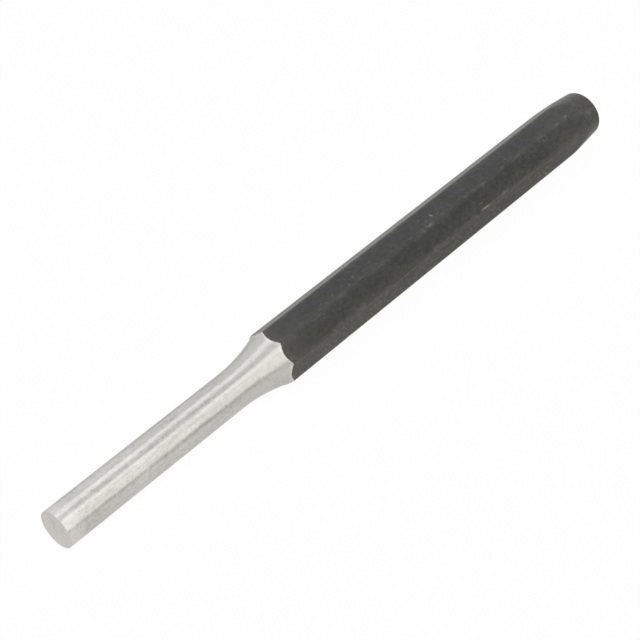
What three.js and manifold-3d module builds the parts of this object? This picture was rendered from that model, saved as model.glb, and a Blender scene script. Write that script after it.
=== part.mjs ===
// Parallel pin punch, made from one octagonal steel bar.
// Millimetres. The punch lies on one flat of its shank along X: tip at -X, struck head at +X, +Z up.
// The origin is under the middle of its length, on the surface that it lies on.

import * as THREE from 'three';
import { mergeVertices } from 'three/addons/utils/BufferGeometryUtils.js';
import Module from 'manifold-3d';

const wasm = await Module();
wasm.setup();

// Overall
const TOTAL_LENGTH = 158;

// Ground pin
const PIN_DIAMETER = 8;
const PIN_LENGTH = 44.25;
const TIP_EDGE_BREAK = 0.12;

// Ground flare from the pin to the shank: a long hollow curve, then a tighter one where the wheel runs out
const FLARE_RADIUS = 38.6;
const FLARE_TURN_DEG = 16;
const RUN_OUT_RADIUS = 3.7;
const RUN_OUT_TURN_DEG = 50;

// Octagonal shank
const ACROSS_FLATS = 11.5;
const CORNER_RADIUS = 0.65;
const FLAT_COUNT = 8;

// Struck head: a turned taper with a rounded edge round a flat end
const HEAD_END_DIAMETER = 10.3;
const HEAD_TAPER_DEG = 5.8;
const HEAD_EDGE_RADIUS = 0.6;

// Black finish: a skin on every surface that isn't ground
const FINISH_THICKNESS = 0.06;
const FINISH_CLEARANCE = 0.02;

// Facets
const ROUND_FACETS = 96;
const FLARE_STEPS = 10;
const RUN_OUT_STEPS = 8;
const HEAD_EDGE_STEPS = 6;
const CORNER_STEPS = 4;
const MERGE_TOLERANCE = 1e-5;

// Derived sizes
const flatAngle = (2 * Math.PI) / FLAT_COUNT;
const axisHeight = ACROSS_FLATS / 2;
const barCornerRadius = ACROSS_FLATS / 2 / Math.cos(flatAngle / 2);
const tipX = -TOTAL_LENGTH / 2;
const headX = TOTAL_LENGTH / 2;
const clearOfBar = 2 * barCornerRadius;

const rad = THREE.MathUtils.degToRad;

// Points of a circular arc from angle `from` to angle `to`, both ends included
function arcPoints(centreX, centreR, radius, from, to, steps) {
  const points = [];
  for (let i = 0; i <= steps; i += 1) {
    const angle = from + ((to - from) * i) / steps;
    points.push({ x: centreX + radius * Math.sin(angle), r: centreR - radius * Math.cos(angle) });
  }
  return points;
}

// A closed geometry as a solid that can be cut and joined
function solidFrom(geometry) {
  const bare = geometry.clone();
  bare.deleteAttribute('normal');
  bare.deleteAttribute('uv');
  const merged = mergeVertices(bare, MERGE_TOLERANCE);
  const index = Array.from(merged.index.array);
  const triVerts = [];
  for (let i = 0; i < index.length; i += 3) {
    const [a, b, c] = index.slice(i, i + 3);
    if (a !== b && b !== c && c !== a) {
      triVerts.push(a, b, c);
    }
  }
  const mesh = new wasm.Mesh({
    numProp: 3,
    vertProperties: new Float32Array(merged.attributes.position.array),
    triVerts: new Uint32Array(triVerts),
  });
  return new wasm.Manifold(mesh);
}

// A solid back as a geometry
function geometryFrom(solid) {
  const { vertProperties, triVerts } = solid.getMesh();
  const geometry = new THREE.BufferGeometry();
  geometry.setAttribute('position', new THREE.BufferAttribute(new Float32Array(vertProperties), 3));
  geometry.setIndex(new THREE.BufferAttribute(new Uint32Array(triVerts), 1));
  geometry.computeVertexNormals();
  return geometry;
}

// A body turned about the punch's axis from its outline, listed from the tip end to the head end
function turned(outline) {
  const points = outline.map(({ x, r }) => new THREE.Vector2(Math.max(r, 0), x));
  const geometry = new THREE.LatheGeometry(points, ROUND_FACETS);
  geometry.rotateZ(-Math.PI / 2);
  return solidFrom(geometry);
}

// The space that the grinding wheel leaves: pin, flare and run-out, open towards the shank
function groundForm() {
  const pinRadius = PIN_DIAMETER / 2;
  const pinEndX = tipX + PIN_LENGTH;
  const flareTurn = rad(FLARE_TURN_DEG);
  const runOutTurn = rad(RUN_OUT_TURN_DEG);
  const flareCentreR = pinRadius + FLARE_RADIUS;
  const flare = arcPoints(pinEndX, flareCentreR, FLARE_RADIUS, 0, flareTurn, FLARE_STEPS);
  const join = flare.at(-1);
  const runOutCentreX = join.x - RUN_OUT_RADIUS * Math.sin(flareTurn);
  const runOutCentreR = join.r + RUN_OUT_RADIUS * Math.cos(flareTurn);
  const runOut = arcPoints(runOutCentreX, runOutCentreR, RUN_OUT_RADIUS, flareTurn, runOutTurn, RUN_OUT_STEPS);
  const last = runOut.at(-1);
  const outerX = last.x + (clearOfBar - last.r) / Math.tan(runOutTurn);
  return turned([
    { x: tipX, r: 0 },
    { x: tipX, r: pinRadius - TIP_EDGE_BREAK },
    { x: tipX + TIP_EDGE_BREAK, r: pinRadius },
    ...flare,
    ...runOut.slice(1),
    { x: outerX, r: clearOfBar },
    { x: headX + clearOfBar, r: clearOfBar },
    { x: headX + clearOfBar, r: 0 },
  ]);
}

// The octagonal bar, `inset` deep under the surface of its flats, long enough to pass both ends
function octagonalBar(inset) {
  const cornerRadius = Math.max(CORNER_RADIUS - inset, 0);
  const flatDistance = ACROSS_FLATS / 2 - inset;
  const cornerCentre = (flatDistance - cornerRadius) / Math.cos(flatAngle / 2);
  const outline = new THREE.Shape();
  for (let i = 0; i < FLAT_COUNT; i += 1) {
    const cornerAngle = (i + 0.5) * flatAngle;
    outline.absarc(
      cornerCentre * Math.cos(cornerAngle),
      cornerCentre * Math.sin(cornerAngle),
      cornerRadius,
      cornerAngle - flatAngle / 2,
      cornerAngle + flatAngle / 2,
    );
  }
  outline.closePath();
  const geometry = new THREE.ExtrudeGeometry(outline, {
    depth: TOTAL_LENGTH + 2 * clearOfBar,
    steps: 1,
    bevelEnabled: false,
    curveSegments: CORNER_STEPS,
  });
  geometry.translate(0, 0, -TOTAL_LENGTH / 2 - clearOfBar);
  geometry.rotateY(Math.PI / 2);
  return solidFrom(geometry);
}

// The turned head, `inset` deep under its surface: taper, rounded edge and flat end, open towards the tip
function headForm(inset) {
  const taper = rad(HEAD_TAPER_DEG);
  const edgeRadius = HEAD_EDGE_RADIUS - inset;
  const edgeCentreX = headX - HEAD_EDGE_RADIUS;
  const taperAtEdgeCentre = HEAD_END_DIAMETER / 2 + HEAD_EDGE_RADIUS * Math.tan(taper);
  const edgeCentreR = taperAtEdgeCentre - HEAD_EDGE_RADIUS / Math.cos(taper);
  const edge = arcPoints(edgeCentreX, edgeCentreR, edgeRadius, Math.PI - taper, Math.PI / 2, HEAD_EDGE_STEPS);
  const first = edge[0];
  const openX = first.x - (clearOfBar - first.r) / Math.tan(taper);
  return turned([
    { x: Math.min(openX, tipX) - clearOfBar, r: 0 },
    { x: Math.min(openX, tipX) - clearOfBar, r: clearOfBar },
    { x: openX, r: clearOfBar },
    ...edge,
    { x: headX - inset, r: 0 },
  ]);
}

// The bar with its head, `inset` deep under the finished surface
function forgedForm(inset) {
  return octagonalBar(inset).intersect(headForm(inset));
}

const ground = groundForm();
const bar = forgedForm(FINISH_THICKNESS + FINISH_CLEARANCE).intersect(ground);
const finish = forgedForm(0).intersect(ground).subtract(forgedForm(FINISH_THICKNESS));

const groundSteel = new THREE.MeshStandardMaterial({ color: 0xc4c4c0, roughness: 0.35, metalness: 1 });
const blackFinish = new THREE.MeshStandardMaterial({ color: 0x3a3a39, roughness: 0.55, metalness: 0.3 });

function piece(name, solid, material) {
  const mesh = new THREE.Mesh(geometryFrom(solid), material);
  mesh.name = name;
  mesh.position.z = axisHeight;
  return mesh;
}

const punch = new THREE.Group();
punch.name = 'pin_punch';
punch.add(piece('steel_bar', bar, groundSteel));
punch.add(piece('black_finish', finish, blackFinish));

export default punch;
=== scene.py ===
"""Parallel pin punch from octagonal bar: bare ground steel at pin and flare, a black finish on the rest.

Metres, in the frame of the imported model: the punch lies on one flat along X, tip at -X, struck head at +X.
Angles round the bar are measured about +X, from +Y towards +Z.
"""

import math

import bpy
import numpy as np
from mathutils import Matrix, Vector


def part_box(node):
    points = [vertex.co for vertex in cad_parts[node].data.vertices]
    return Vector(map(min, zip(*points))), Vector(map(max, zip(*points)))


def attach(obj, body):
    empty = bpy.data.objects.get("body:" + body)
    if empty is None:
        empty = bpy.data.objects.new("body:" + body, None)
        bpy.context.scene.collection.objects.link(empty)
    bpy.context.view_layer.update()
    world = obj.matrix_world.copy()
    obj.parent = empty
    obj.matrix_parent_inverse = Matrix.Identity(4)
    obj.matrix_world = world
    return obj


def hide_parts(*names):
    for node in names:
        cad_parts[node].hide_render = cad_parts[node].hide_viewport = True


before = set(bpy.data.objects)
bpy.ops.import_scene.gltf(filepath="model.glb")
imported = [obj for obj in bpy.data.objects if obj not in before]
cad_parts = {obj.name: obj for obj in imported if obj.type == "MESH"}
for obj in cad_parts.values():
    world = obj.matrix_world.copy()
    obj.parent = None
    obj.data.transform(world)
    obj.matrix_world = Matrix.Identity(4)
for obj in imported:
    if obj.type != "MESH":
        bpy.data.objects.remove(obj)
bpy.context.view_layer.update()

MM = 0.001

# Ground pin, flare and run-out of the grinding wheel
PIN_RADIUS = 4 * MM
PIN_LENGTH = 44.25 * MM
TIP_EDGE_BREAK = 0.12 * MM
FLARE_RADIUS = 38.6 * MM
FLARE_TURN = math.radians(16)
RUN_OUT_RADIUS = 3.7 * MM

# Octagonal shank and struck head
FLAT_COUNT = 8
HALF_FLAT = math.pi / FLAT_COUNT
CORNER_RADIUS = 0.65 * MM
HEAD_END_RADIUS = 5.15 * MM
HEAD_TAPER = math.radians(5.8)
HEAD_EDGE_RADIUS = 0.6 * MM
HEAD_BLEND = 0.05 * MM

# Black finish, and the bare line that the wheel leaves along its scalloped edge
FINISH_THICKNESS = 0.06 * MM
FINISH_CLEARANCE = 0.02 * MM
BARE_LINE = 0.03 * MM
BARE_LINE_SWAY = 0.028 * MM
RIM_GAP = 0.004 * MM

# Waves of the bare line: how many go round the bar, and the angle that each starts at
BARE_LINE_WAVES = ((13, 0.4), (31, 2.1), (57, 4.0))

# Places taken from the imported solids
bar_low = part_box("steel_bar")[0]
finish_low, finish_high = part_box("black_finish")
TIP_X = bar_low.x
PIN_END_X = TIP_X + PIN_LENGTH
HEAD_X = finish_high.x
FLAT_DISTANCE = (finish_high.z - finish_low.z) / 2
AXIS_HEIGHT = (finish_high.z + finish_low.z) / 2

# Grid of the surfaces
FLAT_COLUMNS = 18
CORNER_COLUMNS = 6
FACE_ROWS = 10
EDGE_ROWS = 6
PIN_ROWS = 90
FLARE_ROWS = 40
RUN_OUT_ROWS = 20
SHANK_ROWS = 320
HEAD_EDGE_ROWS = 14
CORE_ROWS = 12
CORE_FACE_ROWS = 3
SHARP_ANGLE = math.radians(32)

# Handling nicks: sizes, reach from past the flare to short of the head, spread round a corner in radians
NICK_SEED = 7
NICK_COUNT = 26
NICK_LENGTH = (0.25 * MM, 0.8 * MM)
NICK_WIDTH = (0.12 * MM, 0.3 * MM)
NICK_DEPTH = (0.015 * MM, 0.05 * MM)
NICK_REACH = (PIN_END_X + 14 * MM, HEAD_X - 3 * MM)
NICK_SPREAD = 0.02

# How far wear and painted highlight reach from a corner, and how far the taper cuts in before the head
# counts as turned
CORNER_WEAR_AND_HIGHLIGHT_REACH = 0.4 * MM
TURNED_DEPTH = 0.15 * MM


# Shapes

def column_angles():
    """Angles of the columns: each eighth has equal steps over its flat, then finer ones over its corner."""
    reach = corner_reach(0)
    flat = np.linspace(reach - HALF_FLAT, HALF_FLAT - reach, FLAT_COLUMNS, endpoint=False)
    corner = np.linspace(HALF_FLAT - reach, HALF_FLAT + reach, CORNER_COLUMNS, endpoint=False)
    eighth = np.concatenate([flat, corner])
    turns = 2 * HALF_FLAT * np.arange(FLAT_COUNT)
    return (turns[:, None] + eighth).ravel()


def corner_circle(inset):
    """Radius of a corner's circle and its distance from the axis, `inset` under the flats.

    The circle touches both flats, so its distance is that of the flats less its radius, over the cosine of
    half a flat's angle.
    """
    radius = CORNER_RADIUS - inset
    return radius, (FLAT_DISTANCE - inset - radius) / math.cos(HALF_FLAT)


def corner_reach(inset):
    """Angle from a corner to where its circle touches a flat, seen from the axis."""
    radius, centre = corner_circle(inset)
    return math.atan2(radius * math.sin(HALF_FLAT), centre + radius * math.cos(HALF_FLAT))


def angle_from_corner(angle):
    """Angle from the nearest corner: half a flat's angle less the angle from the flat's normal."""
    from_flat = (angle + HALF_FLAT) % (2 * HALF_FLAT) - HALF_FLAT
    return HALF_FLAT - np.abs(from_flat)


def octagon_radius(angle, inset=0.0):
    """Distance from the axis to the octagonal surface, `inset` under its flats.

    On a flat it is the flat's distance over the cosine of the angle from the flat's normal. Within reach of
    a corner it is where the ray leaves the corner's circle: c cos b + sqrt(q^2 - c^2 sin^2 b), with c the
    circle's distance from the axis, q its radius and b the angle from the corner.
    """
    radius, centre = corner_circle(inset)
    from_corner = angle_from_corner(angle)
    flat = (FLAT_DISTANCE - inset) / np.cos(HALF_FLAT - from_corner)
    under_root = radius**2 - (centre * np.sin(from_corner)) ** 2
    rounded = centre * np.cos(from_corner) + np.sqrt(np.maximum(under_root, 0))
    return np.where(from_corner < corner_reach(inset), rounded, flat)


def arc(centre_x, centre_r, radius, turn):
    """Points of a circle in the profile: x is centre + radius sin turn, r is centre - radius cos turn."""
    return centre_x + radius * np.sin(turn), centre_r - radius * np.cos(turn)


def flare_end():
    """Where the long hollow curve of the flare has made its turn and the tighter run-out begins."""
    return arc(PIN_END_X, PIN_RADIUS + FLARE_RADIUS, FLARE_RADIUS, FLARE_TURN)


def run_out_centre():
    """Centre of the run-out circle, one radius along the flare's normal, so that there is no kink."""
    x, r = flare_end()
    return x - RUN_OUT_RADIUS * math.sin(FLARE_TURN), r + RUN_OUT_RADIUS * math.cos(FLARE_TURN)


def run_out_turn(r):
    """Turn of the run-out circle at the distance r from the axis: its cosine is (centre - r) / radius."""
    return np.arccos((run_out_centre()[1] - r) / RUN_OUT_RADIUS)


def scallop_x(angle):
    """Where the run-out circle gets as far out as the octagon: early on the flats, later at the corners."""
    turn = run_out_turn(octagon_radius(angle))
    return arc(*run_out_centre(), RUN_OUT_RADIUS, turn)[0]


def rim_x(angle):
    """Edge of the black finish: the scallop plus a bare line whose width sways by the mean of its waves."""
    waves = sum(np.sin(count * angle + start) for count, start in BARE_LINE_WAVES)
    return scallop_x(angle) + BARE_LINE + BARE_LINE_SWAY * (waves / len(BARE_LINE_WAVES))


def head_edge_centre():
    """Centre of the head's rounded edge, one edge radius from the end face and from the taper."""
    at_centre = HEAD_END_RADIUS + HEAD_EDGE_RADIUS * math.tan(HEAD_TAPER)
    return HEAD_X - HEAD_EDGE_RADIUS, at_centre - HEAD_EDGE_RADIUS / math.cos(HEAD_TAPER)


def shank_radius(x, angle, inset=0.0):
    """Distance from the axis to the shank and head: the smaller of octagon and taper, joined softly.

    The soft minimum of a and b is (a + b - sqrt((a - b)^2 + blend^2)) / 2, which stays under both.
    """
    taper = HEAD_END_RADIUS + (HEAD_X - x) * math.tan(HEAD_TAPER) - inset / math.cos(HEAD_TAPER)
    octagon = octagon_radius(angle, inset)
    return (octagon + taper - np.sqrt((octagon - taper) ** 2 + HEAD_BLEND**2)) / 2


def rows(x, r, columns):
    """x and r as arrays of rows by columns, where either may be given once for each row."""
    x, r = np.broadcast_arrays(x, r)
    return np.stack(np.broadcast_arrays(x, r, np.zeros(columns))[:2])


def steps(count, first=0.0, last=1.0):
    """Even steps from the first value to the last, both included, as a column."""
    return np.linspace(first, last, count)[:, None]


def ring_mesh(name, x, r, angle, fields):
    """A closed mesh from rings round the bar's axis.

    The point of a row and column is (x, r cos angle, axis height + r sin angle). Neighbouring rows and
    columns make quads, the last column joins the first, and each end row is closed by a fan to a point on
    the axis. `fields` are values for each row and column, kept as attributes; the two end points take their
    row's mean.
    """
    row_count, column_count = x.shape
    rings = np.stack([x, r * np.cos(angle), AXIS_HEIGHT + r * np.sin(angle)], axis=-1).reshape(-1, 3)
    poles = np.array([[x[end].mean(), 0, AXIS_HEIGHT] for end in (0, -1)])
    points = np.concatenate([rings, poles])
    index = np.arange(row_count * column_count).reshape(row_count, column_count)
    beside = np.roll(index, -1, axis=1)
    quads = np.stack([index[:-1], beside[:-1], beside[1:], index[1:]], axis=-1).reshape(-1, 4)
    first_pole = np.full(column_count, len(rings))
    first_fan = np.stack([first_pole, beside[0], index[0]], axis=-1)
    last_fan = np.stack([index[-1], beside[-1], first_pole + 1], axis=-1)
    fans = np.concatenate([first_fan, last_fan])
    corners = np.concatenate([quads.ravel(), fans.ravel()])
    sizes = np.concatenate([np.full(len(quads), 4), np.full(len(fans), 3)])

    mesh = bpy.data.meshes.new(name)
    mesh.vertices.add(len(points))
    mesh.vertices.foreach_set("co", points.ravel())
    mesh.loops.add(len(corners))
    mesh.loops.foreach_set("vertex_index", corners)
    mesh.polygons.add(len(sizes))
    mesh.polygons.foreach_set("loop_start", np.cumsum(sizes) - sizes)
    mesh.polygons.foreach_set("use_smooth", np.ones(len(sizes), bool))
    for field, values in fields.items():
        kept = mesh.attributes.new(field, "FLOAT", "POINT")
        ends = [values[0].mean(), values[-1].mean()]
        kept.data.foreach_set("value", np.concatenate([values.ravel(), ends]).astype(np.float32))
    mesh.update(calc_edges=True)
    mesh.validate()
    mesh.set_sharp_from_angle(angle=SHARP_ANGLE)
    piece = bpy.data.objects.new(name, mesh)
    bpy.context.collection.objects.link(piece)
    return piece


def nicks(x, angle):
    """Depth of the handling nicks on the corners: each is a hollow, its depth times exp(-distance^2).

    The distance is measured in the nick's lengths along the bar and in its widths round it.
    """
    chance = np.random.default_rng(NICK_SEED)
    depth = np.zeros(np.broadcast(x, angle).shape)
    for _ in range(NICK_COUNT):
        corner = HALF_FLAT * (2 * chance.integers(FLAT_COUNT) + 1)
        at_angle = corner + chance.normal(0, NICK_SPREAD)
        at_x = chance.uniform(*NICK_REACH)
        length, width, deep = (chance.uniform(*limits) for limits in (NICK_LENGTH, NICK_WIDTH, NICK_DEPTH))
        turn = (angle - at_angle + math.pi) % (2 * math.pi) - math.pi
        distance_squared = ((x - at_x) / length) ** 2 + (turn * FLAT_DISTANCE / width) ** 2
        depth += deep * np.exp(-distance_squared)
    return depth


def steel_bar():
    """The one-piece bar, as a profile of lines and arcs turned about the axis.

    It runs from the tip face over the broken edge, the pin, the flare and the run-out to the scallops,
    steps in under the finish, and follows the octagon and the head to the far end. It keeps the distance
    along the bar to the scallops in millimetres, positive on the bare steel.
    """
    angle = column_angles()
    columns = len(angle)
    pin_start = TIP_X + TIP_EDGE_BREAK
    face_radius = PIN_RADIUS - TIP_EDGE_BREAK
    face = rows(TIP_X, face_radius * steps(FACE_ROWS + 1)[1:], columns)
    edge_turns = -math.pi / 2 * (1 + steps(EDGE_ROWS))
    edge = rows(*arc(pin_start, face_radius, TIP_EDGE_BREAK, edge_turns), columns)[:, 1:]
    pin = rows(pin_start + (PIN_END_X - pin_start) * steps(PIN_ROWS), PIN_RADIUS, columns)[:, 1:]
    flare_turns = FLARE_TURN * steps(FLARE_ROWS)
    flare = rows(*arc(PIN_END_X, PIN_RADIUS + FLARE_RADIUS, FLARE_RADIUS, flare_turns), columns)[:, 1:]
    last_turn = run_out_turn(octagon_radius(angle))
    run_out_turns = FLARE_TURN + (last_turn - FLARE_TURN) * steps(RUN_OUT_ROWS)
    run_out = rows(*arc(*run_out_centre(), RUN_OUT_RADIUS, run_out_turns), columns)[:, 1:]
    bare_line = rows(rim_x(angle)[None], octagon_radius(angle)[None], columns)

    inset = FINISH_THICKNESS + FINISH_CLEARANCE
    edge_x, edge_r = head_edge_centre()
    core_x = rim_x(angle) + (edge_x - rim_x(angle)) * steps(CORE_ROWS)
    core = rows(core_x, shank_radius(core_x, angle, inset), columns)
    end_turns = steps(EDGE_ROWS, math.pi - HEAD_TAPER, math.pi / 2)
    core_edge = rows(*arc(edge_x, edge_r, HEAD_EDGE_RADIUS - inset, end_turns), columns)[:, 1:]
    core_face = rows(HEAD_X - inset, edge_r * (1 - steps(CORE_FACE_ROWS)[1:-1]), columns)

    profile = [face, edge, pin, flare, run_out, bare_line, core, core_edge, core_face]
    x, r = np.concatenate(profile, axis=1)
    to_scallop = (scallop_x(angle) - x) / MM
    return ring_mesh("ground_bar", x, r, angle, {"to_scallop": to_scallop})


def black_skin():
    """The black finish as a thin cup, its profile turned about the axis: the inside, then the outside back.

    The inside runs from the middle of the head to the scalloped rim, one thickness under the outside. The
    outside has the nicks. It keeps the distance from the rim in millimetres, the nearness to a corner,
    which is exp(-(distance / reach)^2) off the head, the share by which the taper has cut in, and the
    depth of the nicks as a share of the deepest.
    """
    angle = column_angles()
    columns = len(angle)
    start = rim_x(angle) + RIM_GAP
    edge_x, edge_r = head_edge_centre()
    end_turns = steps(HEAD_EDGE_ROWS, math.pi - HEAD_TAPER, math.pi / 2)
    face_share = steps(FACE_ROWS + 1)[1:-1]

    inner_face = rows(HEAD_X - FINISH_THICKNESS, edge_r * face_share, columns)
    inner_edge = rows(*arc(edge_x, edge_r, HEAD_EDGE_RADIUS - FINISH_THICKNESS, end_turns[::-1]), columns)
    inner_x = (start + (edge_x - start) * steps(CORE_ROWS))[::-1]
    inner = rows(inner_x, shank_radius(inner_x, angle, FINISH_THICKNESS), columns)

    taper_end = arc(edge_x, edge_r, HEAD_EDGE_RADIUS, math.pi - HEAD_TAPER)[0]
    outer_x = start + (taper_end - start) * steps(SHANK_ROWS)
    depth = nicks(outer_x, angle)
    outer = rows(outer_x, shank_radius(outer_x, angle) - depth, columns)
    outer_edge = rows(*arc(edge_x, edge_r, HEAD_EDGE_RADIUS, end_turns), columns)[:, 1:]
    outer_face = rows(HEAD_X, edge_r * (1 - face_share), columns)

    x, r = np.concatenate([inner_face, inner_edge, inner, outer, outer_edge, outer_face], axis=1)
    from_edge = (x - start) / MM
    on_head = np.clip((octagon_radius(angle) - r) / TURNED_DEPTH, 0, 1)
    corner_distance = angle_from_corner(angle) * FLAT_DISTANCE
    corner = np.exp(-((corner_distance / CORNER_WEAR_AND_HIGHLIGHT_REACH) ** 2)) * (1 - on_head)
    first_outer = inner_face.shape[1] + inner_edge.shape[1] + inner.shape[1]
    nick = np.zeros(x.shape)
    nick[first_outer:first_outer + SHANK_ROWS] = np.clip(depth / NICK_DEPTH[1], 0, 1)
    fields = {"from_edge": from_edge, "corner": corner, "on_head": on_head, "nick": nick}
    return ring_mesh("black_skin", x, r, angle, fields)


# Node helpers

# Weight of each finer layer of a grain, and the share of a scratch's half length that is at full strength
GRAIN_ROUGHNESS = 0.6
SCRATCH_FULL = 0.2


def add(tree, kind, settings=None, **inputs):
    """A node with its settings, whose inputs are values or other outputs; underscores stand for spaces."""
    made = tree.nodes.new(kind)
    for key, value in (settings or {}).items():
        setattr(made, key, value)
    for key, value in inputs.items():
        connect(tree, made.inputs[key.replace("_", " ")], value)
    return made


def connect(tree, socket, value):
    """A value set on the socket, or a link from another node's output."""
    if isinstance(value, bpy.types.NodeSocket):
        tree.links.new(value, socket)
    else:
        socket.default_value = value


def connect_all(tree, sockets, values):
    """Each value set on, or linked to, the socket in its place."""
    for socket, value in zip(sockets, values):
        connect(tree, socket, value)


def maths(tree, operation, *values):
    """The output of a Math node for that operation."""
    made = add(tree, "ShaderNodeMath", {"operation": operation})
    connect_all(tree, made.inputs, values)
    return made.outputs[0]


def vector_maths(tree, operation, *values):
    """The outputs of a Vector Math node for that operation."""
    made = add(tree, "ShaderNodeVectorMath", {"operation": operation})
    connect_all(tree, made.inputs, values)
    return made.outputs


def stretched(tree, vector, factor):
    """A vector times one factor."""
    return add(tree, "ShaderNodeVectorMath", {"operation": "SCALE"}, Vector=vector, Scale=factor).outputs[0]


def times(tree, *values):
    """The product of two values or more."""
    product = values[0]
    for value in values[1:]:
        product = maths(tree, "MULTIPLY", product, value)
    return product


def weighted(tree, values, weights):
    """Sum of the named values, each times its weight."""
    total = None
    for name, weight in weights.items():
        share = times(tree, values[name], weight)
        total = share if total is None else maths(tree, "ADD", total, share)
    return total


def ramp(tree, value, low, high, start=0.0, end=1.0):
    """The value carried evenly from low..high to start..end, held at the ends."""
    made = add(tree, "ShaderNodeMapRange", {"clamp": True}, Value=value)
    for key, number in (("From Min", low), ("From Max", high), ("To Min", start), ("To Max", end)):
        connect(tree, made.inputs[key], number)
    return made.outputs[0]


def blend(tree, share, first, second, kind="Color"):
    """The first colour or value, with the second laid over it by the share."""
    made = tree.nodes.new("ShaderNodeMix")
    made.data_type = {"Color": "RGBA", "Float": "FLOAT"}[kind]
    inputs = {socket.identifier: socket for socket in made.inputs}
    for key, value in (("Factor_Float", share), ("A_" + kind, first), ("B_" + kind, second)):
        connect(tree, inputs[key], value)
    return next(socket for socket in made.outputs if socket.identifier == "Result_" + kind)


def layered(tree, colour, layers):
    """A colour with layers over it, one after another, each a share and the colour that it lays on."""
    for share, laid_on in layers:
        colour = blend(tree, share, colour, laid_on)
    return colour


def attribute(tree, name):
    """A value kept on the mesh under that name."""
    return add(tree, "ShaderNodeAttribute", {"attribute_name": name}).outputs["Fac"]


def object_place(tree):
    """The place on the piece in its Object coordinates, as a vector."""
    return add(tree, "ShaderNodeTexCoord").outputs["Object"]


def object_axes(tree):
    """The place on the piece in its Object coordinates, as X, Y and Z."""
    return add(tree, "ShaderNodeSeparateXYZ", Vector=object_place(tree)).outputs


def grey(level, warmth=0.0):
    """A grey of that level, warmer by a share taken from blue and a fifth of it from green."""
    return (level, level * (1 - warmth / 5), level * (1 - warmth), 1.0)


def new_group(name, inputs, outputs):
    """An empty node group with those sockets, and its input and output nodes."""
    group = bpy.data.node_groups.new(name, "ShaderNodeTree")
    for key, kind in inputs.items():
        group.interface.new_socket(name=key, in_out="INPUT", socket_type=kind)
    for key, kind in outputs.items():
        group.interface.new_socket(name=key, in_out="OUTPUT", socket_type=kind)
    return group, group.nodes.new("NodeGroupInput").outputs, group.nodes.new("NodeGroupOutput").inputs


def place(tree, group, **inputs):
    """The first output of a group placed in a material with its own values."""
    return add(tree, "ShaderNodeGroup", {"node_tree": group}, **inputs).outputs[0]


def grain_group():
    """Grain: fractal noise from 0 to 1, with its own count of features a millimetre along X, Y and Z.

    The noise reads Object coordinates in millimetres, turned about the bar's axis and times those counts.
    """
    group, given, result = new_group(
        "bar_grain",
        {"Per mm": "NodeSocketVector", "Turn": "NodeSocketFloat", "Detail": "NodeSocketFloat"},
        {"Grain": "NodeSocketFloat"})
    turned = add(group, "ShaderNodeVectorRotate", {"rotation_type": "X_AXIS"},
                 Vector=object_place(group), Angle=given["Turn"]).outputs[0]
    counted = vector_maths(group, "MULTIPLY", stretched(group, turned, 1 / MM), given["Per mm"])[0]
    noise = add(group, "ShaderNodeTexNoise", Vector=counted, Scale=1.0, Detail=given["Detail"],
                Roughness=GRAIN_ROUGHNESS)
    group.links.new(noise.outputs["Fac"], result["Grain"])
    return group


def grains(tree, group, table):
    """Every grain of a table placed in a material, by its name there."""
    return {
        name: place(tree, group, Per_mm=per_mm, Turn=math.radians(turn_deg), Detail=detail)
        for name, (per_mm, turn_deg, detail) in table.items()
    }


def scratch_group():
    """One scratch: a mask that fades towards its half length and, from its middle line, to its half width.

    Along is the offset from its middle times its direction; beside is what is left of the offset.
    """
    group, given, result = new_group(
        "scratch",
        {"Middle": "NodeSocketVector", "Direction": "NodeSocketVector",
         "Half length": "NodeSocketFloat", "Half width": "NodeSocketFloat", "Strength": "NodeSocketFloat"},
        {"Mark": "NodeSocketFloat"})
    offset = vector_maths(group, "SUBTRACT", object_place(group), given["Middle"])[0]
    along = vector_maths(group, "DOT_PRODUCT", offset, given["Direction"])["Value"]
    line = stretched(group, given["Direction"], along)
    beside = vector_maths(group, "LENGTH", vector_maths(group, "SUBTRACT", offset, line)[0])["Value"]
    lengthwise = maths(group, "DIVIDE", maths(group, "ABSOLUTE", along), given["Half length"])
    crosswise = maths(group, "DIVIDE", beside, given["Half width"])
    lengthwise_fade = ramp(group, lengthwise, SCRATCH_FULL, 1.0, 1.0, 0.0)
    crosswise_fade = ramp(group, crosswise, 0.0, 1.0, 1.0, 0.0)
    mark = times(group, lengthwise_fade, crosswise_fade, given["Strength"])
    group.links.new(mark, result["Mark"])
    return group


def empty_material(name):
    """A material with an empty tree, and the socket that takes its surface."""
    material = bpy.data.materials.new(name)
    material.use_nodes = True
    tree = material.node_tree
    tree.nodes.clear()
    return material, tree, tree.nodes.new("ShaderNodeOutputMaterial").inputs["Surface"]


def piece_material(name):
    """A material with an empty tree and its Principled shader."""
    material, tree, surface = empty_material(name)
    shader = tree.nodes.new("ShaderNodeBsdfPrincipled")
    tree.links.new(shader.outputs[0], surface)
    return material, tree, shader


def raise_surface(tree, shader, height, depth):
    """Bump from a height between 0 and 1, where the full height stands for that depth."""
    bump = add(tree, "ShaderNodeBump", Strength=1.0, Distance=depth, Height=height)
    tree.links.new(bump.outputs[0], shader.inputs["Normal"])


# Ground steel

# Grains: features a millimetre along X, Y and Z, turn about the bar in degrees, and detail
STEEL_GRAINS = {
    "drawn": ((0.15, 2.2, 2.2), 0, 2.0),
    "face_lines": ((0.0, 1.8, 0.2), 4, 2.0),
    "speckle": ((3.0, 3.0, 3.0), 25, 2.0),
    "blotches": ((1.1, 1.3, 1.3), 0, 3.0),
    "broad": ((0.06, 0.1, 0.1), 0, 1.0),
    "pits": ((1.5, 1.6, 1.6), 65, 1.0),
}

# Weights of the grains in the tone and in the relief, and the depth of the relief
STEEL_TONE = {"lines": 0.25, "speckle": 0.25, "blotches": 0.3, "broad": 0.2}
STEEL_RELIEF = {"drawn": 0.2, "speckle": 0.3, "blotches": 0.5}
STEEL_RELIEF_DEPTH = 0.0045 * MM

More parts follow.
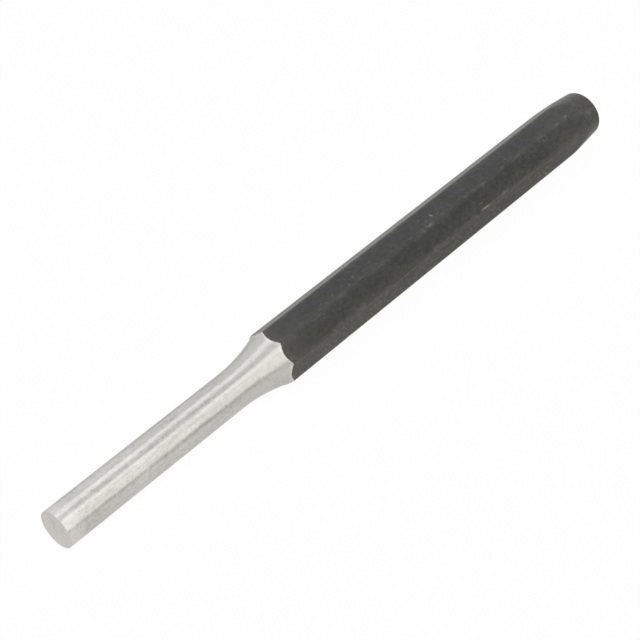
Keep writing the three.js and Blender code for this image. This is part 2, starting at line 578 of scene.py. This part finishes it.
# Ramp over X: from, to and the values there
TIP_FACE = (TIP_X + 0.02 * MM, TIP_X + 0.06 * MM, 1.0, 0.0)

# Ramps over millimetres to the scallops: from, to and the values there
ON_FLARE = (9.0, 17.0, 1.0, 0.0)
# Painted light: the pin and flare are darker nearer the scallops and lighter over the tip half
TIP_HALF = (24.0, 38.0, -0.045, 0.02)
# Painted reflection: the last millimetres of the pin are lighter
PIN_END_LIFT = (51.5, 54.0, 0.0, 0.13)
PIN_END_DULL = (51.5, 54.0, 0.0, 0.3)
EDGE_LINE_RISE = (0.05, 0.15, 0.0, 1.0)
EDGE_LINE_FALL = (0.3, 0.5, 1.0, 0.0)
FLARE_ROUGHNESS = (0.0, 10.0, 0.08, 0.0)

# Ramps over a grain or a sum of grains: from, to and the values there
POLISH_AND_LIGHT_RANGE = (0.36, 0.64, 0.0, 1.0)
PITTED = (0.67, 0.76, 0.0, 0.55)
PALE_LINE_SPOTS = (0.42, 0.62, 0.05, 0.45)
STEEL_ROUGHNESS = (0.3, 0.7, 0.14, 0.22)

# How much the flare is calmed, towards which tone, and what each place adds to the tone: painted light on
# the flare, the tip half and the pin's end, and the tip face's own darker finish
FLARE_CALM = 0.45
EVEN_TONE = 0.5
PAINTED_LIGHT_AND_FACE_TONE = {"on_flare": 0.03, "painted_light_tip_half": 1.0, "painted_reflection_pin_end": 1.0, "on_face": -0.13}

# Colours of the steel and of the layers on it, and the share of the last
STEEL_DARK = grey(0.43, 0.045)
STEEL_LIGHT = grey(0.67, 0.045)
STEEL_AT_GRAZING = grey(0.8)
PIT_COLOUR = grey(0.3, 0.06)
PALE_LINE_COLOUR = grey(0.85, 0.05)
TIP_FACE_COLOUR = (0.715, 0.664, 0.579, 1.0)
TIP_FACE_SHARE = 0.3


def ground_steel(grain_nodes):
    """Bare steel, the lighter the more polished it is.

    How polished it is comes from a weighted sum of grains: lines drawn along the pin, or straight ones on
    the tip face, with speckle, blotches and broad clouds. It is calmer on the flare. Painted light adds a
    little on the flare, takes some away where the pin nears the flare, adds over the tip half and adds most
    over the last millimetres of the pin, a painted reflection; the tip face's own tone is darker. Dark pits,
    a paler line before the scallops and the tip face's warmer colour lie over it. The last millimetres of
    the pin are rubbed dull, so they count as less metallic.
    """
    material, tree, shader = piece_material("ground_steel")
    grain = grains(tree, grain_nodes, STEEL_GRAINS)
    to_scallop = attribute(tree, "to_scallop")
    on_face = ramp(tree, object_axes(tree)["X"], *TIP_FACE)
    on_flare = ramp(tree, to_scallop, *ON_FLARE)

    grain["lines"] = blend(tree, on_face, grain["drawn"], grain["face_lines"], "Float")
    tone = weighted(tree, grain, STEEL_TONE)
    calmer = blend(tree, times(tree, on_flare, FLARE_CALM), tone, EVEN_TONE, "Float")
    places = {
        "on_flare": on_flare,
        "painted_light_tip_half": ramp(tree, to_scallop, *TIP_HALF),
        "painted_reflection_pin_end": ramp(tree, to_scallop, *PIN_END_LIFT),
        "on_face": on_face,
    }
    # Painted light lifts the tone on the flare, the tip half and the pin's end; the tip face has its own
    # darker tone
    polish_and_painted_light = maths(tree, "ADD", calmer, weighted(tree, places, PAINTED_LIGHT_AND_FACE_TONE))
    bare = blend(tree, ramp(tree, polish_and_painted_light, *POLISH_AND_LIGHT_RANGE), STEEL_DARK, STEEL_LIGHT)

    pitted = ramp(tree, grain["pits"], *PITTED)
    # A paler, spotted line just before the scallops
    line_rise = ramp(tree, to_scallop, *EDGE_LINE_RISE)
    edge_line = times(tree, line_rise, ramp(tree, to_scallop, *EDGE_LINE_FALL))
    pale_line = times(tree, edge_line, ramp(tree, grain["speckle"], *PALE_LINE_SPOTS))
    warmer = times(tree, on_face, TIP_FACE_SHARE)
    layers = ((pitted, PIT_COLOUR), (pale_line, PALE_LINE_COLOUR), (warmer, TIP_FACE_COLOUR))
    connect(tree, shader.inputs["Base Color"], layered(tree, bare, layers))

    satin = ramp(tree, grain["blotches"], *STEEL_ROUGHNESS)
    roughness = maths(tree, "ADD", satin, ramp(tree, to_scallop, *FLARE_ROUGHNESS))
    connect(tree, shader.inputs["Roughness"], roughness)
    dull = maths(tree, "SUBTRACT", ramp(tree, to_scallop, *PIN_END_DULL), on_face)
    shining = maths(tree, "SUBTRACT", 1.0, maths(tree, "MAXIMUM", dull, 0.0))
    connect(tree, shader.inputs["Metallic"], shining)
    shader.inputs["Specular Tint"].default_value = STEEL_AT_GRAZING
    raise_surface(tree, shader, weighted(tree, grain, STEEL_RELIEF), STEEL_RELIEF_DEPTH)
    return material


# Black finish

# Grains: features a millimetre along X, Y and Z, turn about the bar in degrees, and detail
BLACK_GRAINS = {
    "broad": ((0.1, 0.25, 0.25), 0, 2.0),
    "streaks": ((0.15, 2.5, 2.5), 0, 3.0),
    "blotches": ((0.9, 1.1, 1.1), 0, 4.0),
    "fine": ((1.3, 1.7, 1.7), 30, 2.0),
    "strokes": ((0.8, 4.5, 4.5), 15, 2.0),
    "scuffs": ((1.3, 1.4, 1.4), 50, 3.0),
    "patches": ((0.4, 0.9, 0.9), 40, 3.0),
    "hatch": ((1.0, 4.5, 1.0), 20, 2.0),
}

# Weights of the grains in the tone, which is the relief too, and the depth of the relief
BLACK_TONE = {"broad": 0.25, "streaks": 0.15, "blotches": 0.6}
BLACK_RELIEF_DEPTH = 0.06 * MM

# Ramps over X, Y or Z: from, to and the values there
ON_TOP = (10.6 * MM, 11.4 * MM, 0.0, 1.0)
ON_SIDE = (7.4 * MM, 8.2 * MM, 1.0, 0.0)
# Wear and painted highlight on the corners, stronger lower down
CORNER_WEAR_AND_HIGHLIGHT_BY_HEIGHT = (7 * MM, 11.4 * MM, 0.85, 0.45)
DUST_ACROSS = (0.4 * MM, 2.2 * MM, 0.0, 0.07)
HANDLED_END = (56 * MM, 70 * MM, 0.0, 0.14)

# Ramps over millimetres from the scalloped rim: from, to and the values there
# A paler stretch behind the rim, and a faint paler reach further back
PALER_NEAR_RIM = (0.0, 15.0, 1.0, 0.0)
PALER_FURTHER_BACK = (12.0, 40.0, 0.06, 0.0)
SCORCHED = (0.2, 2.0, 1.0, 0.0)

# Ramps over a grain or a sum of grains: from, to and the values there
MOTTLED = (0.42, 0.6, 0.0, 1.0)
FLECKED = (0.6, 0.74, 0.0, 1.0)
FLECK_CLOUDS = (0.4, 0.6, 0.4, 1.0)
STROKED = (0.6, 0.75, 0.0, 0.35)
SCUFFED = (0.5, 0.68, 0.0, 0.8)
RUB_AND_HIGHLIGHT_STREAKS = (0.25, 0.6, 0.3, 1.0)
PATCHED = (0.52, 0.68, 0.0, 0.45)
HEAD_WORN = (0.35, 0.65, 0.15, 0.85)
HATCHED = (0.45, 0.62, 0.0, 1.0)
BLACK_ROUGHNESS = (0.35, 0.65, 0.28, 0.38)

# Ramp over the mask of the sides, for the share of the paler stretch: from, to and the values there
PALER_BY_SIDE = (0.0, 1.0, 0.48, 0.06)

# Shares of whole layers, and the powers that spread the patches and draw in the paler stretch
FLECK_SHARE = 0.6
NICK_SHARE = 0.4
SCORCH_SHARE = 0.8
PATCH_POWER = 0.35
PALER_POWER = 2.5

# Colours of the ground, its black a bluer copy on the top flat and a warmer one on the sides as painted
# light, then of the layers in their order, the corners and patches among them lighter by wear and painted
# highlight
BLACK_DEEP = grey(0.0005)
# Painted light: the black is a warmer copy on the sides and a bluer one on the top flat
PAINTED_WARM_SIDE_BLACK = (0.024, 0.0237, 0.0158, 1.0)
PAINTED_COOL_TOP_BLACK = (0.022, 0.0226, 0.026, 1.0)
DUST_COLOUR = grey(0.08, 0.1)
FLECK_COLOUR = grey(0.1, 0.15)
STROKE_COLOUR = grey(0.08, 0.2)
SCUFF_COLOUR = grey(0.085, 0.3)
# Wear and painted highlight on the corners and on the patches beside them
CORNER_WEAR_AND_HIGHLIGHT_COLOUR = grey(0.062, 0.2)
PATCH_WEAR_AND_HIGHLIGHT_COLOUR = grey(0.11, 0.12)
HEAD_COLOUR = grey(0.055, 0.15)
MARK_COLOUR = grey(0.26, 0.04)
PALER_COLOUR = grey(0.055, 0.15)
SCORCH_COLOUR = grey(0.1, 0.42)

# Scratches: place along the bar in millimetres, angle round it and slant from its direction in degrees,
# half length and half width in millimetres, and strength
SCRATCHES = (
    (24.7, 97, 75, 0.6, 0.3, 0.8),
    (26.5, 101, 20, 0.5, 0.22, 0.3),
    (0.3, 96, -35, 0.6, 0.24, 0.4),
    (-1.9, 106, -10, 0.6, 0.28, 0.35),
    (-6.3, 101, -40, 0.7, 0.25, 0.3),
    (37.2, 155, 2, 1.9, 0.3, 0.8),
    (58.2, 193, 30, 0.7, 0.3, 0.9),
    (55.4, 191, 70, 0.3, 0.2, 0.5),
    (75.8, 133, 30, 1.2, 1.0, 0.2),
    (69.3, 110, 0, 0.9, 0.4, 0.4),
    (60.3, 121, 60, 0.4, 0.3, 0.3),
    (51.8, 112, 0, 1.6, 0.3, 0.22),
    (-10.7, 157, 10, 0.7, 0.35, 0.28),
    (33.0, 40, 60, 0.6, 0.2, 0.6),
    (8.0, -20, -25, 0.8, 0.2, 0.6),
    (47.0, -95, 75, 0.5, 0.2, 0.6),
    (61.0, 5, 10, 1.0, 0.2, 0.5),
)


def scratched(tree, scratch_nodes):
    """All scratches as one mask, the strongest at each place.

    A scratch sits at its angle on the surface. It runs along the bar, turned by its slant within its flat.
    """
    marks = None
    for along_mm, angle_deg, slant_deg, half_length_mm, half_width_mm, strength in SCRATCHES:
        along = along_mm * MM
        angle = math.radians(angle_deg)
        slant = math.radians(slant_deg)
        radius = float(shank_radius(along, np.array(angle)))
        middle = (along, radius * math.cos(angle), AXIS_HEIGHT + radius * math.sin(angle))
        flat = 2 * HALF_FLAT * round(angle / (2 * HALF_FLAT))
        direction = (math.cos(slant), -math.sin(slant) * math.sin(flat), math.sin(slant) * math.cos(flat))
        mark = place(tree, scratch_nodes, Middle=middle, Direction=direction,
                     Half_length=half_length_mm * MM, Half_width=half_width_mm * MM, Strength=strength)
        marks = mark if marks is None else maths(tree, "MAXIMUM", marks, mark)
    return marks


def black_finish(grain_nodes, scratch_nodes):
    """Black finish: a mottled ground with layers of wear over it, each laid on by its own share.

    The ground goes from deep black to a black by a weighted sum of grains; that black is a bluer copy on the
    top flat and a warmer one on the sides, painted light. In order come dust on the far half of the top
    together with the handled head end, flecks, strokes along the bar, scuffs on the sides, corners lighter
    by wear and by painted highlight, patches beside them of the same mix, the worn head, nicks and
    scratches, the paler stretch behind the rim, much stronger on the upper part, and a scorched hatch at the
    rim itself.
    """
    material, tree, shader = piece_material("black_finish")
    grain = grains(tree, grain_nodes, BLACK_GRAINS)
    at = object_axes(tree)
    from_edge = attribute(tree, "from_edge")
    corner = attribute(tree, "corner")
    on_top = ramp(tree, at["Z"], *ON_TOP)
    on_side = ramp(tree, at["Z"], *ON_SIDE)

    tone = weighted(tree, grain, BLACK_TONE)
    # Painted light: bluer black on the top flat, warmer on the sides
    lighter = blend(tree, on_top, PAINTED_WARM_SIDE_BLACK, PAINTED_COOL_TOP_BLACK)
    ground = blend(tree, ramp(tree, tone, *MOTTLED), BLACK_DEEP, lighter)

    dust = times(tree, ramp(tree, at["Y"], *DUST_ACROSS), on_top)
    dusty = maths(tree, "ADD", dust, ramp(tree, at["X"], *HANDLED_END))
    fleck_clouds = ramp(tree, grain["broad"], *FLECK_CLOUDS)
    flecks = times(tree, ramp(tree, grain["fine"], *FLECKED), fleck_clouds, FLECK_SHARE)
    strokes = ramp(tree, grain["strokes"], *STROKED)
    scuffs = times(tree, ramp(tree, grain["scuffs"], *SCUFFED), on_side)
    # Corners lighter by wear and by painted highlight, the more so lower down, and patches beside them too
    rub_and_highlight = times(tree, ramp(tree, grain["streaks"], *RUB_AND_HIGHLIGHT_STREAKS), ramp(tree, at["Z"], *CORNER_WEAR_AND_HIGHLIGHT_BY_HEIGHT))
    corners_worn_and_highlit = times(tree, corner, rub_and_highlight)
    beside_corner = maths(tree, "POWER", corner, PATCH_POWER)
    patches = times(tree, ramp(tree, grain["patches"], *PATCHED), beside_corner)
    worn_head = times(tree, attribute(tree, "on_head"), ramp(tree, grain["blotches"], *HEAD_WORN))
    nicked = times(tree, attribute(tree, "nick"), NICK_SHARE)
    marks = maths(tree, "MAXIMUM", nicked, scratched(tree, scratch_nodes))
    # A paler stretch behind the rim, much stronger on the upper part than on the sides
    paler_near_rim = maths(tree, "POWER", ramp(tree, from_edge, *PALER_NEAR_RIM), PALER_POWER)
    paler_by_side = times(tree, paler_near_rim, ramp(tree, on_side, *PALER_BY_SIDE))
    paler_stretch = maths(tree, "ADD", paler_by_side, ramp(tree, from_edge, *PALER_FURTHER_BACK))
    hatched = ramp(tree, grain["hatch"], *HATCHED)
    scorch = times(tree, ramp(tree, from_edge, *SCORCHED), hatched, SCORCH_SHARE)
    layers = (
        (dusty, DUST_COLOUR),
        (flecks, FLECK_COLOUR),
        (strokes, STROKE_COLOUR),
        (scuffs, SCUFF_COLOUR),
        (corners_worn_and_highlit, CORNER_WEAR_AND_HIGHLIGHT_COLOUR),
        (patches, PATCH_WEAR_AND_HIGHLIGHT_COLOUR),
        (worn_head, HEAD_COLOUR),
        (marks, MARK_COLOUR),
        (paler_stretch, PALER_COLOUR),
        (scorch, SCORCH_COLOUR),
    )
    connect(tree, shader.inputs["Base Color"], layered(tree, ground, layers))
    connect(tree, shader.inputs["Roughness"], ramp(tree, tone, *BLACK_ROUGHNESS))
    raise_surface(tree, shader, tone, BLACK_RELIEF_DEPTH)
    return material


# Studio

WHITE = (1.0, 1.0, 1.0, 1.0)
WORLD_LIGHT = 0.75

# White floor, and the painted shade in its glow as the punch mirrors it: under it from tip to head, then
# beyond it
FLOOR_SIZE = 4.0
FLOOR_DROP = 0.01 * MM
FLOOR_GLOW = 0.97
FLOOR_COLOUR = grey(0.9)
MIRRORED_TIP_END = (0.88, 0.875, 0.84, 1.0)
MIRRORED_MIDDLE = (0.97, 0.965, 0.928, 1.0)
MIRRORED_HEAD_END = (0.685, 0.68, 0.645, 1.0)
MIRRORED_BEYOND = grey(0.97)
MIRRORED_FAR = grey(0.865)

# Where those tones run into each other: the first two along X, the others along Y
TIP_END_TO_MIDDLE = (-72 * MM, -42 * MM)
MIDDLE_TO_HEAD_END = (-38 * MM, 44 * MM)
NEAR_TO_BEYOND = (-6 * MM, 2 * MM)
BEYOND_TO_FAR = (7 * MM, 13 * MM)

# Cards that glow with their colour as painted darker reflections: name, ends along X, Y and Z of each long
# edge, colour
CARDS = (
    ("low_card", (-0.6, 1.3), (-0.66, 0.0), (-0.66, 0.12), (0.78, 0.778, 0.74, 1.0)),
    ("top_card", (-0.6, 0.65), (-0.05, 0.68), (0.06, 0.68), (0.905, 0.9, 0.88, 1.0)),
)

# Softboxes: name, angle round the bar in degrees, distance, width, length, middle along X, power, colour
SOFTBOXES = (
    ("camera_side", 133.5, 0.7, 0.825, 1.25, 0.025, 1.0, (1.0, 0.985, 0.84)),
    ("camera_side_strip", 113.5, 0.69, 0.184, 1.25, 0.025, 0.135, (1.0, 0.98, 0.92)),
    ("far_side", 62.5, 0.7, 0.297, 1.2, 0.0, 0.478, (0.95, 0.949, 0.946)),
)

# Camera: what it aims at, how far off it stands, its heading from +Y towards +X, how steeply it looks down,
# its roll, and the nearest that it sees
CAMERA_AIM = (-8.75 * MM, 0.09 * MM, AXIS_HEIGHT)
CAMERA_DISTANCE = 351.4 * MM
CAMERA_HEADING = math.radians(47.5)
CAMERA_SLOPE = math.radians(44.25)
CAMERA_ROLL = math.radians(-1.185)
CAMERA_NEAREST = 0.01

# Film width and focal length, in the millimetres that a camera takes here
FILM_WIDTH = 36
FOCAL_LENGTH = 100


def seen_directly(tree):
    """1 on camera, glossy and transmission rays, which see the white background, and 0 on other light."""
    path = tree.nodes.new("ShaderNodeLightPath").outputs
    either = maths(tree, "MAXIMUM", path["Is Camera Ray"], path["Is Glossy Ray"])
    return maths(tree, "MAXIMUM", either, path["Is Transmission Ray"])


def studio_world():
    """An even white surround, white to the eye and softer as light."""
    world = bpy.data.worlds.new("studio")
    world.use_nodes = True
    tree = world.node_tree
    tree.nodes.clear()
    strength = ramp(tree, seen_directly(tree), 0.0, 1.0, WORLD_LIGHT, 1.0)
    surround = add(tree, "ShaderNodeBackground", Color=WHITE, Strength=strength)
    output = tree.nodes.new("ShaderNodeOutputWorld")
    tree.links.new(surround.outputs[0], output.inputs["Surface"])
    bpy.context.scene.world = world


def stage_sheet(name, points, material):
    """A flat sheet of the studio through four points, whose glow isn't sampled as a lamp."""
    mesh = bpy.data.meshes.new(name)
    mesh.from_pydata(points, [], [[0, 1, 2, 3]])
    mesh.materials.append(material)
    material.cycles.emission_sampling = "NONE"
    sheet = bpy.data.objects.new(name, mesh)
    bpy.context.collection.objects.link(sheet)
    return sheet


def white_floor():
    """A wide white sheet under the punch: mostly its own white where it is seen, so the shadow stays faint.

    The eye sees plain white. The punch mirrors a glow with painted shade, blended along X under it, darker
    at the tip end and darker still at the head end, and along Y beyond, darker further out.
    """
    material, tree, surface = empty_material("white_sheet")
    matt = add(tree, "ShaderNodeBsdfDiffuse", Color=FLOOR_COLOUR)
    at = object_axes(tree)
    # Painted shade in the mirrored glow: darker at the tip end, the head end and far off the punch
    near_tip = blend(tree, ramp(tree, at["X"], *TIP_END_TO_MIDDLE), MIRRORED_TIP_END, MIRRORED_MIDDLE)
    near = blend(tree, ramp(tree, at["X"], *MIDDLE_TO_HEAD_END), near_tip, MIRRORED_HEAD_END)
    beyond = blend(tree, ramp(tree, at["Y"], *BEYOND_TO_FAR), MIRRORED_BEYOND, MIRRORED_FAR)
    mirrored = blend(tree, ramp(tree, at["Y"], *NEAR_TO_BEYOND), near, beyond)
    to_the_eye = tree.nodes.new("ShaderNodeLightPath").outputs["Is Camera Ray"]
    glow = add(tree, "ShaderNodeEmission", Color=blend(tree, to_the_eye, mirrored, WHITE), Strength=1.0)
    glow_share = times(tree, seen_directly(tree), FLOOR_GLOW)
    mix = tree.nodes.new("ShaderNodeMixShader")
    connect_all(tree, mix.inputs, (glow_share, matt.outputs[0], glow.outputs[0]))
    tree.links.new(mix.outputs[0], surface)

    half = FLOOR_SIZE / 2
    corners = ((-half, -half), (half, -half), (half, half), (-half, half))
    stage_sheet("floor", [(x, y, -FLOOR_DROP) for x, y in corners], material)


def card(name, ends, first_edge, second_edge, colour):
    """A plain card along X, which is seen only as the line that the punch mirrors, and throws no shadow."""
    material, tree, surface = empty_material(name)
    # The card glows with its colour: a painted darker reflection in the white surround
    glow = add(tree, "ShaderNodeEmission", Color=colour, Strength=1.0)
    tree.links.new(glow.outputs[0], surface)
    start, end = ends
    points = [(start, *first_edge), (end, *first_edge), (end, *second_edge), (start, *second_edge)]
    sheet = stage_sheet(name, points, material)
    sheet.visible_camera = False
    sheet.visible_diffuse = False
    sheet.visible_shadow = False


def softbox(name, angle_deg, distance, width, length, middle, power, colour):
    """A soft light, long along X: at that angle and distance from the bar's axis, and facing it."""
    light = bpy.data.lights.new(name, "AREA")
    light.shape = "RECTANGLE"
    light.size = length
    light.size_y = width
    light.energy = power
    light.color = colour
    lamp = bpy.data.objects.new(name, light)
    angle = math.radians(angle_deg)
    away = Vector((0, math.cos(angle), math.sin(angle)))
    along = Vector((1, 0, 0))
    turned = Matrix((along, away.cross(along), away)).transposed().to_4x4()
    axis_point = Vector((middle, 0, AXIS_HEIGHT))
    lamp.matrix_world = Matrix.Translation(axis_point + away * distance) @ turned
    lamp.visible_camera = False
    bpy.context.collection.objects.link(lamp)


def photo_camera():
    """The photograph's camera.

    It looks along its heading and down by its slope, its level side is turned by its roll, and it stands
    its distance back from what it aims at.
    """
    level_share = math.cos(CAMERA_SLOPE)
    forward = Vector((
        math.sin(CAMERA_HEADING) * level_share,
        math.cos(CAMERA_HEADING) * level_share,
        -math.sin(CAMERA_SLOPE),
    ))
    level = forward.cross(Vector((0, 0, 1))).normalized()
    upright = level.cross(forward)
    right = level * math.cos(CAMERA_ROLL) + upright * math.sin(CAMERA_ROLL)
    up = right.cross(forward)
    lens = bpy.data.cameras.new("photo_camera")
    lens.sensor_width = FILM_WIDTH
    lens.lens = FOCAL_LENGTH
    lens.clip_start = CAMERA_NEAREST
    camera = bpy.data.objects.new("photo_camera", lens)
    turned = Matrix((right, up, -forward)).transposed().to_4x4()
    camera.matrix_world = Matrix.Translation(Vector(CAMERA_AIM) - forward * CAMERA_DISTANCE) @ turned
    bpy.context.collection.objects.link(camera)
    bpy.context.scene.camera = camera


photo_camera()
studio_world()
white_floor()
for row in CARDS:
    card(*row)
for row in SOFTBOXES:
    softbox(*row)
bpy.context.scene.view_settings.view_transform = "Standard"

grain_nodes = grain_group()
scratch_nodes = scratch_group()
for piece, node, slot, material in (
    (steel_bar(), "steel_bar", "ground_steel", ground_steel(grain_nodes)),
    (black_skin(), "black_finish", "black_finish", black_finish(grain_nodes, scratch_nodes)),
):
    piece.data.materials.append(material)
    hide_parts(node)
    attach(piece, "root")
